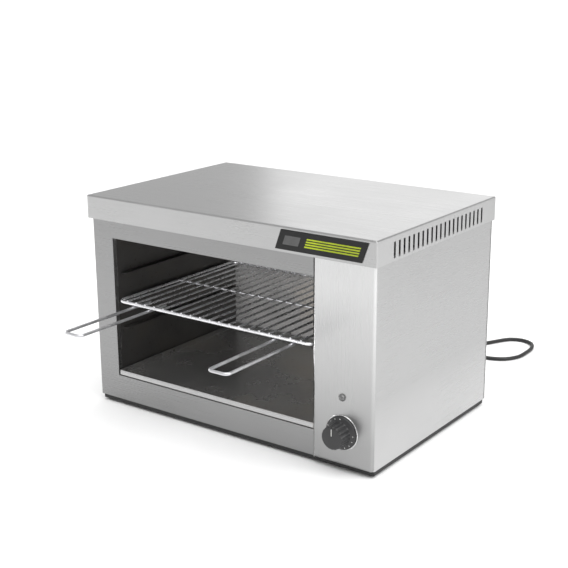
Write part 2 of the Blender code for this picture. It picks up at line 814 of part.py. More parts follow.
def make_cord():
    """The flex from the gland to the coil, the coil's outer shape, and the end with its plug."""
    gland_profile = [
        (0.0, GLAND_REACH),
        (CORD_R + 0.0008, GLAND_REACH),
        (0.0072, 0.006),
        (GLAND_FLANGE_R, 0.005),
        (GLAND_FLANGE_R, GAP),
        (GLAND_NECK_R, GAP),
        (GLAND_NECK_R, -SHEET - GAP),
        (0.0105, -SHEET - GAP),
        (0.0105, -0.0080),
        (0.0, -0.0080),
    ]
    turned("cord_gland", gland_profile, (CORD_X, BACK, GLAND_Z), (0, 1, 0), CORD_BLACK, 24)

    start = BACK + GLAND_REACH + GAP
    r = CORD_R
    route = [
        (CORD_X, start, GLAND_Z),
        (CORD_X, start + 0.014, GLAND_Z),
        (CORD_X - 0.003, start + 0.034, GLAND_Z - 0.0065),
        (CORD_X - 0.010, start + 0.053, GLAND_Z - 0.0225),
        (CORD_X - 0.021, start + 0.071, r + 0.0125),
        (CORD_X - 0.040, start + 0.087, r + 0.0035),
        (0.170, BACK + 0.136, r + 0.0006),
        (0.132, BACK + 0.144, r + 0.0001),
        (0.097, BACK + 0.155, r),
        (0.074, BACK + 0.181, r),
        (0.076, BACK + 0.209, r),
        (0.098, BACK + 0.227, r),
        (0.130, BACK + 0.229, r),
        (0.165, BACK + 0.224, r),
        (0.200, BACK + 0.225, r),
        (0.229, BACK + 0.240, r),
        (0.245, BACK + 0.268, r),
        (0.247, BACK + 0.302, r),
        (0.2445, BACK + 0.333, r),
        (0.232, BACK + 0.358, r),
        (0.207, BACK + 0.3675, r),
        (0.182, BACK + 0.358, r),
        (0.166, BACK + 0.333, r),
        (0.146, BACK + 0.298, r),
        (0.114, BACK + 0.274, r),
        (0.074, BACK + 0.261, r),
        (0.039, BACK + 0.240, r),
        (0.014, BACK + 0.207, r),
        (-0.010, BACK + 0.178, r),
        (-0.030, BACK + 0.1667, r),
        (COIL_AT.x + COIL_LEAVE, COIL_AT.y + COIL_R, r),
    ]
    tube("mains_cord", smooth_line(route, 2.4 * CORD_D), CORD_R, CORD_BLACK)

    inner, outer = COIL_R - CORD_R, COIL_R + CORD_R
    height = CORD_D * (COIL_TURNS + 1)
    ring = [(inner, height), (outer, height), (outer, 0.0), (inner, 0.0), (inner, height)]
    turned("cord_coil", ring, COIL_AT, (0, 0, 1), CORD_BLACK, 32)


def make_plug():
    """A three-pin plug lying beside the coil, with its short lead over the coil's edge."""
    away = COIL_AT + PLUG_AWAY
    width, length, z = PLUG_HALF
    body = box(
        "plug_body",
        away - Vector((width, length, 0.0)),
        away + Vector((width, length, 2 * z)),
        CORD_BLACK,
        0.005,
    )
    body.modifiers["bevel"].segments = 3
    pins = (
        ("plug_pin_earth", 0.0, 0.008),
        ("plug_pin_live", -0.010, -0.006),
        ("plug_pin_neutral", 0.010, -0.006),
    )
    for name, x, up in pins:
        start = away + Vector((x, -length - GAP, z + up))
        rod(name, start, start + Vector((0.0, -PIN_LENGTH, 0.0)), PIN_R, BRASS, 12)
    top = CORD_R + CORD_D * COIL_TURNS
    route = [
        COIL_AT + Vector((-COIL_LEAVE, COIL_R, top)),
        COIL_AT + Vector((-COIL_LEAVE - 0.016, COIL_R, top)),
        COIL_AT + Vector((-0.066, COIL_R, top - 0.001)),
        COIL_AT + Vector((-0.084, 0.0355, top - 0.004)),
        COIL_AT + Vector((-0.0968, 0.0210, z + 0.002)),
        away + Vector((0.0, length + 0.009, z)),
        away + Vector((0.0, length + GAP, z)),
    ]
    tube("cord_tail", smooth_line(route, 2.0 * CORD_D), CORD_R, CORD_BLACK)


def make_screws():
    """Pan-head screws that hold the rear panel and the hood's back band."""
    places = {
        "rear_screw_1": (-HALF_W + 0.0075, BASE + 0.060),
        "rear_screw_2": (HALF_W - 0.0075, BASE + 0.060),
        "rear_screw_3": (-HALF_W + 0.0075, HOOD_LOW - 0.060),
        "rear_screw_4": (HALF_W - 0.0075, HOOD_LOW - 0.060),
    }
    profile = [(0.0, 0.0014), (0.0022, 0.0013), (0.0036, 0.0006), (0.0038, 0.0), (0.0, 0.0)]
    for name, (x, z) in places.items():
        turned(name, profile, (x, BACK + GAP / 3, z), (0, 1, 0), STEEL, 16)


def build():
    make_casing()
    make_feet()
    make_hood()
    make_badge()
    make_liner()
    make_ledges()
    make_tray()
    make_elements()
    make_rack()
    make_handles()
    make_control_panel()
    make_regulator()
    make_lamp()
    make_terminal_block()
    make_inner_wires()
    make_cord()
    make_plug()
    make_screws()


build()
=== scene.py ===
import math

import bmesh
import bpy
from mathutils import Matrix, Vector


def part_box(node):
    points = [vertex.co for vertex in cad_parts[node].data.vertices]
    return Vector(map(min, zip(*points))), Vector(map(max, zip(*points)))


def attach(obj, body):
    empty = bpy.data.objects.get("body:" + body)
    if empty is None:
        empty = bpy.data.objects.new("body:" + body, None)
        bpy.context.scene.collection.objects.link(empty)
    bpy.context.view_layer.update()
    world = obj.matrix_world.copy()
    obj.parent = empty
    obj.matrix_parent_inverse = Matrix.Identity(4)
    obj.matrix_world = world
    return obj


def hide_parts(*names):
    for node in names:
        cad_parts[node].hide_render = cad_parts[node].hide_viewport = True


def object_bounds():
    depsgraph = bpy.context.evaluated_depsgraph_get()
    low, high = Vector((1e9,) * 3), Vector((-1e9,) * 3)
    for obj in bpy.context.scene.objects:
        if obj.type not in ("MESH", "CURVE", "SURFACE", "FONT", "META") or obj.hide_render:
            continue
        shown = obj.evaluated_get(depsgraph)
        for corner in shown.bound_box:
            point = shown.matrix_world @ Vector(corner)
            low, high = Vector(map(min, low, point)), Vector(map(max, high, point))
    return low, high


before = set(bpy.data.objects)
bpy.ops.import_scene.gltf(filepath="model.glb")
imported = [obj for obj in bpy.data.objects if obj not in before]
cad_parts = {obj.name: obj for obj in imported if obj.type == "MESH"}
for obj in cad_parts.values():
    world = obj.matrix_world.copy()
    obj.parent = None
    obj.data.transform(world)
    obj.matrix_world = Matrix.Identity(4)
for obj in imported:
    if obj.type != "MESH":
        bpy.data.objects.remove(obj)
CAD_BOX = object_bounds()

# Looks for a countertop open-front grill: +Z up, X along the front, Y from the front to the back, in metres.


# ---------------------------------------------------------------- places, worked out from the frame


def corners(node):
    """The node's lowest and highest corners as vectors."""
    low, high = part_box(node)
    return Vector(low), Vector(high)


def centre(node):
    low, high = corners(node)
    return (low + high) / 2


def size(node):
    low, high = corners(node)
    return high - low


FRAME_LOW = corners("front_frame")[0]
FRONT = FRAME_LOW.y
BACK = corners("rear_panel")[1].y
BASE = FRAME_LOW.z
TOP = CAD_BOX[1][2]
PANEL_BEND = 0.0045
HANDLE_BEND = 0.008
GAP = 0.0003
ON_AXIS = 1e-7

CORD_D = 0.0075
CORD_R = CORD_D / 2
COIL_AT = Vector((centre("cord_coil").x, centre("cord_coil").y, 0.0))
COIL_R = size("cord_coil").x / 2 - CORD_R
COIL_TURNS = 3
COIL_LEAVE = 0.027
COIL_STEPS = 24
LEAD_STEP = 0.012
TAIL_STEP = 0.010


# ---------------------------------------------------------------- camera, floor and lights

CAMERA_AT = Vector((1.1743, FRONT - 1.4347, BASE + 0.7995))
CAMERA_AZIMUTH = math.radians(36.16)
CAMERA_ELEVATION = math.radians(16.17)
CAMERA_ROLL = math.radians(-0.395)
CAMERA_LENS = 72.87
SENSOR = 36.0
FLOOR_SIZE = 40.0
FLOOR_DROP = 0.0002
HORIZON_FADE = 0.24


def make_camera():
    data = bpy.data.cameras.new("camera")
    data.lens = CAMERA_LENS
    data.sensor_width = SENSOR
    camera = bpy.data.objects.new("camera", data)
    bpy.context.scene.collection.objects.link(camera)
    flat = math.cos(CAMERA_ELEVATION)
    backward = Vector(
        (
            math.sin(CAMERA_AZIMUTH) * flat,
            -math.cos(CAMERA_AZIMUTH) * flat,
            math.sin(CAMERA_ELEVATION),
        )
    )
    right = (-backward).cross(Vector((0, 0, 1))).normalized()
    up = right.cross(-backward)
    turned_right = math.cos(CAMERA_ROLL) * right + math.sin(CAMERA_ROLL) * up
    turned_up = math.cos(CAMERA_ROLL) * up - math.sin(CAMERA_ROLL) * right
    turn = Matrix((turned_right, turned_up, backward)).transposed().to_4x4()
    camera.matrix_world = Matrix.Translation(CAMERA_AT) @ turn
    bpy.context.scene.camera = camera


def add_light(name, kind, place, target, energy):
    data = bpy.data.lights.new(name, kind)
    data.energy = energy
    light = bpy.data.objects.new(name, data)
    bpy.context.scene.collection.objects.link(light)
    light.location = place
    light.rotation_euler = (Vector(target) - Vector(place)).to_track_quat("-Z", "Y").to_euler()
    light.visible_camera = False
    return data


def soft_box(name, place, target, width, height, energy):
    data = add_light(name, "AREA", place, target, energy)
    data.shape = "RECTANGLE"
    data.size = width
    data.size_y = height


def make_world():
    """White at the horizon, going to a soft grey higher up."""
    world = bpy.data.worlds.new("studio")
    bpy.context.scene.world = world
    world.use_nodes = True
    nodes, links = world.node_tree.nodes, world.node_tree.links
    direction = nodes.new("ShaderNodeTexCoord")
    split = nodes.new("ShaderNodeSeparateXYZ")
    ramp = nodes.new("ShaderNodeValToRGB")
    stops = ramp.color_ramp.elements
    stops[0].position, stops[0].color = 0.0, (1.0, 1.0, 1.0, 1.0)
    stops[1].position, stops[1].color = HORIZON_FADE, (0.60, 0.60, 0.60, 1.0)
    links.new(direction.outputs["Generated"], split.inputs["Vector"])
    links.new(split.outputs["Z"], ramp.inputs["Fac"])
    links.new(ramp.outputs["Color"], nodes["Background"].inputs["Color"])


def make_lights():
    overhead = add_light("overhead", "SUN", (0.5, -0.3, 3.0), (0.0, 0.0, 0.0), 2.0)
    overhead.angle = math.radians(60)
    soft_box("behind_right", (-0.70, 1.9, 1.05), (0.15, 0.05, TOP), 1.2, 0.9, 3.0)
    soft_box("right_floor", (1.5, -0.1, 0.9), (0.5, 0.2, 0.0), 0.9, 0.9, 10.0)
    soft_box("left_floor", (-1.45, -0.15, 0.6), (-1.45, -0.15, 0.0), 0.6, 0.6, 6.0)


def light_the_chamber(pieces):
    """A soft fill from the front that only the given inner pieces receive."""
    data = add_light("mouth_fill", "AREA", (-0.05, -1.5, 0.55), (-0.10, BACK, 0.20), 24.0)
    data.size = 0.7
    inside = bpy.data.collections.new("lit_by_mouth_fill")
    for piece in pieces:
        inside.objects.link(piece)
    bpy.data.objects["mouth_fill"].light_linking.receiver_collection = inside


def make_floor():
    """A pale plane just below the feet."""
    shape = bmesh.new()
    bmesh.ops.create_grid(shape, x_segments=1, y_segments=1, size=FLOOR_SIZE)
    floor = as_object("floor", shape)
    floor.location.z = -FLOOR_DROP
    floor.data.materials.append(plain_floor())


# ---------------------------------------------------------------- material helpers


class Graph:
    """A new material, with short ways to add and link its nodes."""

    def __init__(self, name):
        self.material = bpy.data.materials.new(name)
        self.material.use_nodes = True
        self.nodes = self.material.node_tree.nodes
        self.links = self.material.node_tree.links
        self.shader = self.nodes["Principled BSDF"]

    def add(self, kind, **settings):
        node = self.nodes.new(kind)
        for key, value in settings.items():
            setattr(node, key, value)
        return node

    def set(self, **values):
        """Sets the shader's own sockets; an underscore stands for a space."""
        for key, value in values.items():
            self.shader.inputs[key.replace("_", " ")].default_value = value

    def link(self, start, end):
        self.links.new(start, end)

    def place(self, scale):
        """Object coordinates stretched by scale, in metres."""
        coordinates = self.add("ShaderNodeTexCoord")
        mapping = self.add("ShaderNodeMapping")
        mapping.inputs["Scale"].default_value = scale
        self.link(coordinates.outputs["Object"], mapping.inputs["Vector"])
        return mapping.outputs["Vector"]

    def noise(self, scale, detail=3.0, roughness=0.5, stretch=(1, 1, 1)):
        node = self.add("ShaderNodeTexNoise")
        node.inputs["Scale"].default_value = scale
        node.inputs["Detail"].default_value = detail
        node.inputs["Roughness"].default_value = roughness
        self.link(self.place(stretch), node.inputs["Vector"])
        return node.outputs["Fac"]

    def ranged(self, value, low, high, start=0.3, stop=0.7):
        """The value between start and stop, spread from low to high."""
        node = self.add("ShaderNodeMapRange")
        node.inputs["From Min"].default_value = start
        node.inputs["From Max"].default_value = stop
        node.inputs["To Min"].default_value = low
        node.inputs["To Max"].default_value = high
        self.link(value, node.inputs["Value"])
        return node.outputs["Result"]

    def colours(self, value, *stops):
        """A colour ramp through (place, colour) stops."""
        node = self.add("ShaderNodeValToRGB")
        ramp = node.color_ramp
        while len(ramp.elements) < len(stops):
            ramp.elements.new(0.5)
        for element, (place, colour) in zip(ramp.elements, stops):
            element.position = place
            element.color = (*colour, 1.0)
        self.link(value, node.inputs["Fac"])
        return node.outputs["Color"]

    def faded(self, colour, height, share, reach):
        """The colour times the share at the height, and its own again at reach above it; this paints light
        and shade.
        """
        coordinates = self.add("ShaderNodeTexCoord")
        split = self.add("ShaderNodeSeparateXYZ")
        self.link(coordinates.outputs["Object"], split.inputs["Vector"])
        factor = self.ranged(split.outputs["Z"], share, 1.0, height, height + reach)
        scaled = self.add("ShaderNodeVectorMath", operation="SCALE")
        self.link(colour, scaled.inputs[0])
        self.link(factor, scaled.inputs["Scale"])
        return scaled.outputs["Vector"]

    def bump(self, height, strength, distance, under=None):
        node = self.add("ShaderNodeBump")
        node.inputs["Strength"].default_value = strength
        node.inputs["Distance"].default_value = distance
        self.link(height, node.inputs["Height"])
        if under is not None:
            self.link(under, node.inputs["Normal"])
        return node.outputs["Normal"]


def multiplied(graph, first, second):
    """The product of two colours."""
    node = graph.add("ShaderNodeMix", data_type="RGBA", blend_type="MULTIPLY")
    node.inputs["Factor"].default_value = 1.0
    graph.link(first, node.inputs["A"])
    graph.link(second, node.inputs["B"])
    return node.outputs["Result"]


def tinted(colour, share):
    return tuple(channel * share for channel in colour)


def plain_floor():
    graph = Graph("pale_floor")
    graph.set(Roughness=0.9, Specular_IOR_Level=0.1)
    tone = graph.colours(graph.noise(3.0), (0.0, (0.90, 0.90, 0.90)), (1.0, (0.93, 0.93, 0.93)))
    graph.link(tone, graph.shader.inputs["Base Color"])
    return graph.material


def brushed_steel(name, colour, polish, rough, along, fade=None):
    """Sheet with a fine grain along one axis, faint cloudy wear and a soft edge.

    fade is (height, share, reach), as Graph.faded takes them: painted light and shade, a change of tone with
    height.
    """
    graph = Graph(name)
    graph.set(Metallic=1.0)
    stretch = {"x": (6, 900, 900), "y": (900, 6, 900), "z": (900, 900, 6)}[along]
    grain = graph.noise(1.0, 4.0, 0.6, stretch)
    clouds = graph.noise(5.0, 4.0, 0.55)
    tone = graph.colours(clouds, (0.30, tinted(colour, 0.93)), (0.72, colour))
    streaks = graph.colours(grain, (0.25, (0.94, 0.94, 0.94)), (0.75, (1.0, 1.0, 1.0)))
    finish = multiplied(graph, tone, streaks)
    if fade:
        finish = graph.faded(finish, *fade)
    graph.link(finish, graph.shader.inputs["Base Color"])
    spread = graph.ranged(grain, polish, rough)
    worn = graph.ranged(clouds, -0.03, 0.05)
    total = graph.add("ShaderNodeMath", operation="ADD")
    graph.link(spread, total.inputs[0])
    graph.link(worn, total.inputs[1])
    graph.link(total.outputs["Value"], graph.shader.inputs["Roughness"])
    edge = graph.add("ShaderNodeBevel", samples=4)
    edge.inputs["Radius"].default_value = 0.0005
    graph.link(graph.bump(grain, 0.10, 0.00004, edge.outputs["Normal"]), graph.shader.inputs["Normal"])
    return graph.material


def heated_steel(name, colour, polish=0.30, rough=0.48, metallic=0.8):
    """Sheet dulled and lightly browned by heat, with specks of baked-on fat."""
    graph = Graph(name)
    graph.set(Metallic=metallic)
    clouds = graph.noise(7.0, 5.0, 0.6)
    tone = graph.colours(
        clouds,
        (0.30, tinted(colour, 0.75)),
        (0.52, colour),
        (0.75, (colour[0] * 1.12, colour[1] * 1.05, colour[2] * 0.95)),
    )
    specks = graph.colours(graph.noise(160.0, 2.0), (0.66, (1, 1, 1)), (0.72, (0.72, 0.66, 0.60)))
    graph.link(multiplied(graph, tone, specks), graph.shader.inputs["Base Color"])
    graph.link(graph.ranged(clouds, polish, rough), graph.shader.inputs["Roughness"])
    graph.link(graph.bump(graph.noise(45.0), 0.12, 0.0004), graph.shader.inputs["Normal"])
    return graph.material


def plated_wire(name, colour, rough, metallic=1.0):
    """Bright plating with faint drawing lines and dull patches."""
    graph = Graph(name)
    graph.set(Metallic=metallic)
    patches = graph.noise(60.0, 3.0)
    tone = graph.colours(patches, (0.35, tinted(colour, 0.86)), (0.65, colour))
    graph.link(tone, graph.shader.inputs["Base Color"])
    graph.link(graph.ranged(patches, rough, rough + 0.12), graph.shader.inputs["Roughness"])
    graph.link(graph.bump(graph.noise(900.0), 0.06, 0.00005), graph.shader.inputs["Normal"])
    return graph.material


def moulded(name, colour, rough, grain=1400.0, coat=0.0, depth=0.00004, shine=0.5):
    """Moulded plastic or rubber with a fine spark-eroded grain."""
    graph = Graph(name)
    graph.set(Coat_Weight=coat, Coat_Roughness=0.2, Specular_IOR_Level=shine)
    clouds = graph.noise(30.0, 3.0)
    tone = graph.colours(clouds, (0.35, tinted(colour, 0.85)), (0.70, tinted(colour, 1.15)))
    graph.link(tone, graph.shader.inputs["Base Color"])
    graph.link(graph.ranged(clouds, rough - 0.05, rough + 0.07), graph.shader.inputs["Roughness"])
    graph.link(graph.bump(graph.noise(grain, 2.0), 0.25, depth), graph.shader.inputs["Normal"])
    return graph.material


def lamp_glass(name, colour):
    """A lens with a fine prismatic grain behind it."""
    graph = Graph(name)
    graph.set(Coat_Weight=1.0, Coat_Roughness=0.05)
    cells = graph.add("ShaderNodeTexVoronoi")
    cells.inputs["Scale"].default_value = 900.0
    graph.link(graph.place((1, 1, 1)), cells.inputs["Vector"])
    tone = graph.colours(cells.outputs["Distance"], (0.0, colour), (0.8, tinted(colour, 0.35)))
    graph.link(tone, graph.shader.inputs["Base Color"])
    graph.link(graph.ranged(cells.outputs["Distance"], 0.08, 0.2, 0.0, 1.0), graph.shader.inputs["Roughness"])
    return graph.material


# ---------------------------------------------------------------- modelling helpers


def as_object(name, shape, paint=None):
    bmesh.ops.recalc_face_normals(shape, faces=shape.faces)
    mesh = bpy.data.meshes.new(name)
    shape.to_mesh(mesh)
    shape.free()
    obj = bpy.data.objects.new(name, mesh)
    bpy.context.scene.collection.objects.link(obj)
    if paint:
        obj.data.materials.append(paint)
    return obj


def smooth(obj, angle=35):
    obj.data.shade_smooth()
    obj.data.set_sharp_from_angle(angle=math.radians(angle))
    return obj


def lathe(name, profile, paint, steps=64, flutes=None):
    """A profile of (radius, height) turned about +Z. flutes is (count, depth, low, high): rounded grooves."""
    shape = bmesh.new()
    rings = []
    for radius, height in profile:
        if radius < ON_AXIS:
            rings.append([shape.verts.new((0, 0, height))])
            continue
        ring = []
        for step in range(steps):
            angle = 2 * math.pi * step / steps
            reach = radius
            if flutes and flutes[2] <= height <= flutes[3]:
                reach -= flutes[1] * max(0.0, math.cos(flutes[0] * angle)) ** 2
            ring.append(shape.verts.new((reach * math.cos(angle), reach * math.sin(angle), height)))
        rings.append(ring)
    for low, high in zip(rings, rings[1:]):
        for step in range(steps):
            after = (step + 1) % steps
            if len(low) == 1:
                shape.faces.new((low[0], high[step], high[after]))
            elif len(high) == 1:
                shape.faces.new((low[step], high[0], low[after]))
            else:
                shape.faces.new((low[step], high[step], high[after], low[after]))
    return smooth(as_object(name, shape, paint))


def aim(obj, place, axis):
    """Points the object's +Z along the axis and moves it to its place, in its mesh."""
    turn = Vector(axis).to_track_quat("Z", "Y").to_matrix().to_4x4()
    obj.data.transform(Matrix.Translation(place) @ turn)
    return obj


def add_block(shape, low, high):
    low, high = Vector(low), Vector(high)
    to_place = Matrix.Translation((low + high) / 2) @ Matrix.Diagonal((*(high - low), 1.0))
    return bmesh.ops.create_cube(shape, size=1.0, matrix=to_place)["verts"]


def wires(name, runs, paint, resolution=4):
    """One curve object of several round bars, each a (points, radius, closed) run."""
    curve = bpy.data.curves.new(name, "CURVE")
    curve.dimensions = "3D"
    curve.bevel_depth = 1.0
    curve.bevel_resolution = resolution
    curve.use_fill_caps = True
    for points, radius, closed in runs:
        spline = curve.splines.new("POLY")
        spline.points.add(len(points) - 1)
        for knot, point in zip(spline.points, points):
            knot.co = (*point, 1.0)
            knot.radius = radius
        spline.use_cyclic_u = closed
        spline.use_smooth = True
    curve.materials.append(paint)
    obj = bpy.data.objects.new(name, curve)
    bpy.context.scene.collection.objects.link(obj)
    return obj


def arc(middle, radius, start, stop, steps):
    """Points on a plan arc, angles in degrees."""
    found = []
    for step in range(steps + 1):
        angle = math.radians(start + (stop - start) * step / steps)
        found.append((middle[0] + radius * math.cos(angle), middle[1] + radius * math.sin(angle)))
    return found


def smooth_line(route, step):
    """Points about a step apart on the Catmull-Rom curve through the route's points."""
    knots = [Vector(point) for point in route]
    ends = [2 * knots[0] - knots[1], *knots, 2 * knots[-1] - knots[-2]]
    found = []
    for a, b, c, d in zip(ends, ends[1:], ends[2:], ends[3:]):
        parts = max(1, round((c - b).length / step))
        for part in range(parts):
            t = part / parts
            found.append(
                0.5
                * (
                    2 * b
                    + (c - a) * t
                    + (2 * a - 5 * b + 4 * c - d) * t**2
                    + (3 * b - a - 3 * c + d) * t**3
                )
            )
    return [*found, knots[-1]]


def rounded(obj, width):
    """Rounds the object's sharp edges."""
    modifier = obj.modifiers.new("rounding", "BEVEL")
    modifier.width = width
    modifier.segments = 3
    modifier.limit_method = "ANGLE"
    return smooth(obj)


def finish_piece(piece, body, slot, *nodes):
    """Puts the piece on its body, in place of the nodes that it stands for; the slot is not used."""
    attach(piece, body)
    if nodes:
        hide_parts(*nodes)
    return piece


# ---------------------------------------------------------------- materials

HOOD_STEEL = brushed_steel("satin_steel_hood", (0.49, 0.49, 0.49), 0.24, 0.36, "x")
# Painted shade: the front frame is the hood's satin steel in a darker tone, standing in for shade on the
# front.
SHADED_FRAME_METAL = brushed_steel("satin_frame_painted_shade", (0.32, 0.32, 0.32), 0.24, 0.36, "x")
# Painted light: the side panels are 1.3 times lighter at the base and return to their own tone 0.12 m up.
SIDE_PAINTED_LIGHT = (BASE, 1.30, 0.12)
SIDE_METAL_PAINTED_LIGHT = brushed_steel("satin_side_painted_light", (0.44, 0.44, 0.44), 0.24, 0.36, "y", SIDE_PAINTED_LIGHT)
BRIGHT_STEEL = brushed_steel("bright_steel", (0.72, 0.72, 0.72), 0.16, 0.28, "x")
# Painted light and shade: the control panel is the same steel in a lighter tone, darkened to 0.55 of it
# towards the bottom.
PANEL_PAINTED_SHADE = (BASE + 0.04, 0.55, 0.26)
PANEL_METAL_LIT_AND_SHADED = brushed_steel("satin_panel_painted_light_and_shade", (0.68, 0.68, 0.68), 0.24, 0.36, "z", PANEL_PAINTED_SHADE)
# Painted highlight: a near-white steel for the strip on the control panel's left bend.
BEND_PAINTED_HIGHLIGHT = brushed_steel("bend_painted_highlight", (0.97, 0.97, 0.97), 0.10, 0.18, "z")
LIP_STEEL = brushed_steel("satin_steel_lip", (0.55, 0.55, 0.55), 0.30, 0.44, "x")
TRAY_STEEL = heated_steel("tray_sheet", (0.22, 0.217, 0.213), 0.20, 0.34, 0.7)
# Painted light: the chamber's back wall is the same liner steel in a much lighter tone than the other walls.
BACK_LINER = heated_steel("back_liner_painted_light", (0.50, 0.495, 0.49), 0.16, 0.28, 0.5)
# Painted shade: the chamber's walls, reflector, ledges and strip are the liner steel in a very dark tone,
# standing in for shade inside the chamber; the heat browning and specks are their own.
LINER = heated_steel("heat_tinted_liner_painted_shade", (0.12, 0.117, 0.114))
SHEATH = heated_steel("element_sheath_dark", (0.12, 0.11, 0.11))
WIRE = plated_wire("plated_wire", (0.80, 0.80, 0.82), 0.22, 0.85)
PULL_WIRE = plated_wire("plated_pull_wire", (0.70, 0.70, 0.72), 0.28, 0.85)
BRASS = plated_wire("brass_bright", (0.78, 0.60, 0.28), 0.18)
BLACK_PLASTIC = moulded("black_moulding", (0.018, 0.018, 0.019), 0.38, coat=0.15)
BADGE_BLACK = moulded("badge_black", (0.012, 0.012, 0.012), 0.40, grain=300.0, coat=0.1, shine=0.25)
BADGE_LIME = moulded("badge_lime", (0.40, 0.49, 0.015), 0.40, grain=300.0, coat=0.1, shine=0.3)
BADGE_GREY = moulded("badge_grey", (0.10, 0.10, 0.10), 0.40, grain=300.0, coat=0.1, shine=0.3)
WHITE_INK = moulded("white_ink", (0.78, 0.78, 0.76), 0.45, grain=500.0)
CORD_BLACK = moulded("cord_black", (0.014, 0.014, 0.014), 0.46, grain=700.0, depth=0.00006)
FOOT_BLACK = moulded("foot_black", (0.016, 0.016, 0.016), 0.70)
# Painted shade: the base pan is black to stand in for the dark shadow in the gap under the casing.
PAN_PAINTED_SHADE = moulded("pan_black_painted_shade", (0.015, 0.015, 0.015), 0.55, grain=500.0)
CERAMIC = moulded("glazed_ceramic", (0.78, 0.76, 0.70), 0.25, grain=200.0, coat=0.6)
PALE_PLASTIC = moulded("pale_moulding", (0.72, 0.70, 0.63), 0.45)
RED_SLEEVE = moulded("red_sleeve", (0.42, 0.05, 0.04), 0.50)
LENS = lamp_glass("lamp_lens_smoke", (0.20, 0.20, 0.20))

NODE_PAINT = {
    "hood": HOOD_STEEL,
    "front_frame": SHADED_FRAME_METAL,
    "rear_panel": HOOD_STEEL,
    "left_side_panel": SIDE_METAL_PAINTED_LIGHT,
    "right_side_panel": SIDE_METAL_PAINTED_LIGHT,
    "control_panel": PANEL_METAL_LIT_AND_SHADED,
    "base_pan": PAN_PAINTED_SHADE,
    "knob_bezel": BRIGHT_STEEL,
    "knob_shaft": BRASS,
    "lamp_body": PALE_PLASTIC,
    "heat_regulator": CERAMIC,
    "terminal_block": PALE_PLASTIC,
    "chamber_back_wall": BACK_LINER,
    "crumb_tray": TRAY_STEEL,
}
START_PAINT = (
    ("chamber_", LINER),
    ("heat_reflector", LINER),
    ("left_ledge", LINER),
    ("right_ledge", LINER),
    ("element_strip", LINER),
    ("element_terminal", CERAMIC),
    ("foot_", FOOT_BLACK),
    ("plug_pin", BRASS),
)


def paint_nodes():
    """Paints the frame's own bodies, which stay visible where no piece replaces them."""
    for name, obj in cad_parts.items():
        paint = NODE_PAINT.get(name)
        for start, other in START_PAINT:
            if paint is None and name.startswith(start):
                paint = other
        if paint is None and name.endswith("_wire"):
            paint = RED_SLEEVE
        if paint is not None:
            for slot in obj.material_slots:
                slot.material = paint


# ---------------------------------------------------------------- cord, its plug and its strain relief


def coil_point(turns):
    """A point on the coil's middle line, counted in turns from its start at the back."""
    angle = math.pi / 2 + 2 * math.pi * turns
    return COIL_AT + Vector((COIL_R * math.cos(angle), COIL_R * math.sin(angle), CORD_R + CORD_D * turns))


def make_cord():
    """One flex from the gland through the coil to the plug, with its strain relief and plug."""
    gland = corners("cord_gland")
    cord_x, gland_z = centre("cord_gland").x, centre("cord_gland").z
    start = gland[1].y + GAP
    r = CORD_R
    lead = [
        (cord_x, start, gland_z),
        (cord_x, start + 0.014, gland_z),
        (cord_x - 0.003, start + 0.034, gland_z - 0.0065),
        (cord_x - 0.010, start + 0.053, gland_z - 0.0225),
        (cord_x - 0.021, start + 0.071, r + 0.0125),
        (cord_x - 0.040, start + 0.087, r + 0.0035),
        (0.170, BACK + 0.136, r + 0.0006),
        (0.132, BACK + 0.144, r + 0.0001),
        (0.097, BACK + 0.155, r),
        (0.074, BACK + 0.181, r),
        (0.076, BACK + 0.209, r),
        (0.098, BACK + 0.227, r),
        (0.130, BACK + 0.229, r),
        (0.165, BACK + 0.224, r),
        (0.200, BACK + 0.225, r),
        (0.229, BACK + 0.240, r),
        (0.245, BACK + 0.268, r),
        (0.247, BACK + 0.302, r),
        (0.2445, BACK + 0.333, r),
        (0.232, BACK + 0.358, r),
        (0.207, BACK + 0.3675, r),
        (0.182, BACK + 0.358, r),
        (0.166, BACK + 0.333, r),
        (0.146, BACK + 0.298, r),
        (0.114, BACK + 0.274, r),
        (0.074, BACK + 0.261, r),
        (0.039, BACK + 0.240, r),
        (0.014, BACK + 0.207, r),
        (-0.010, BACK + 0.178, r),
        (-0.030, BACK + 0.1667, r),
        (COIL_AT.x + COIL_LEAVE, COIL_AT.y + COIL_R, r),
    ]
    coil = [coil_point(step / COIL_STEPS) for step in range(COIL_STEPS * COIL_TURNS + 1)]
    plug = centre("plug_body")
    plug_end = corners("plug_body")[1].y
    top = r + CORD_D * COIL_TURNS
    end = Vector((plug.x, plug_end + GAP, plug.z))
    tail = [
        COIL_AT + Vector((-COIL_LEAVE, COIL_R, top)),
        COIL_AT + Vector((-COIL_LEAVE - 0.016, COIL_R, top)),
        COIL_AT + Vector((-0.066, COIL_R, top - 0.001)),
        COIL_AT + Vector((-0.084, 0.0355, top - 0.004)),
        COIL_AT + Vector((-0.0968, 0.0210, plug.z + 0.002)),
        end + Vector((0.0, 0.009 - GAP, 0.0)),
        end,
    ]
    line = [*smooth_line(lead, LEAD_STEP), *coil, *smooth_line(tail, TAIL_STEP)]
    cord = wires("mains_flex", [(line, r, False)], CORD_BLACK, 5)
    finish_piece(cord, "casing", "cord_rubber", "mains_cord", "cord_coil", "cord_tail")
    relief = make_strain_relief()
    body = make_plug()


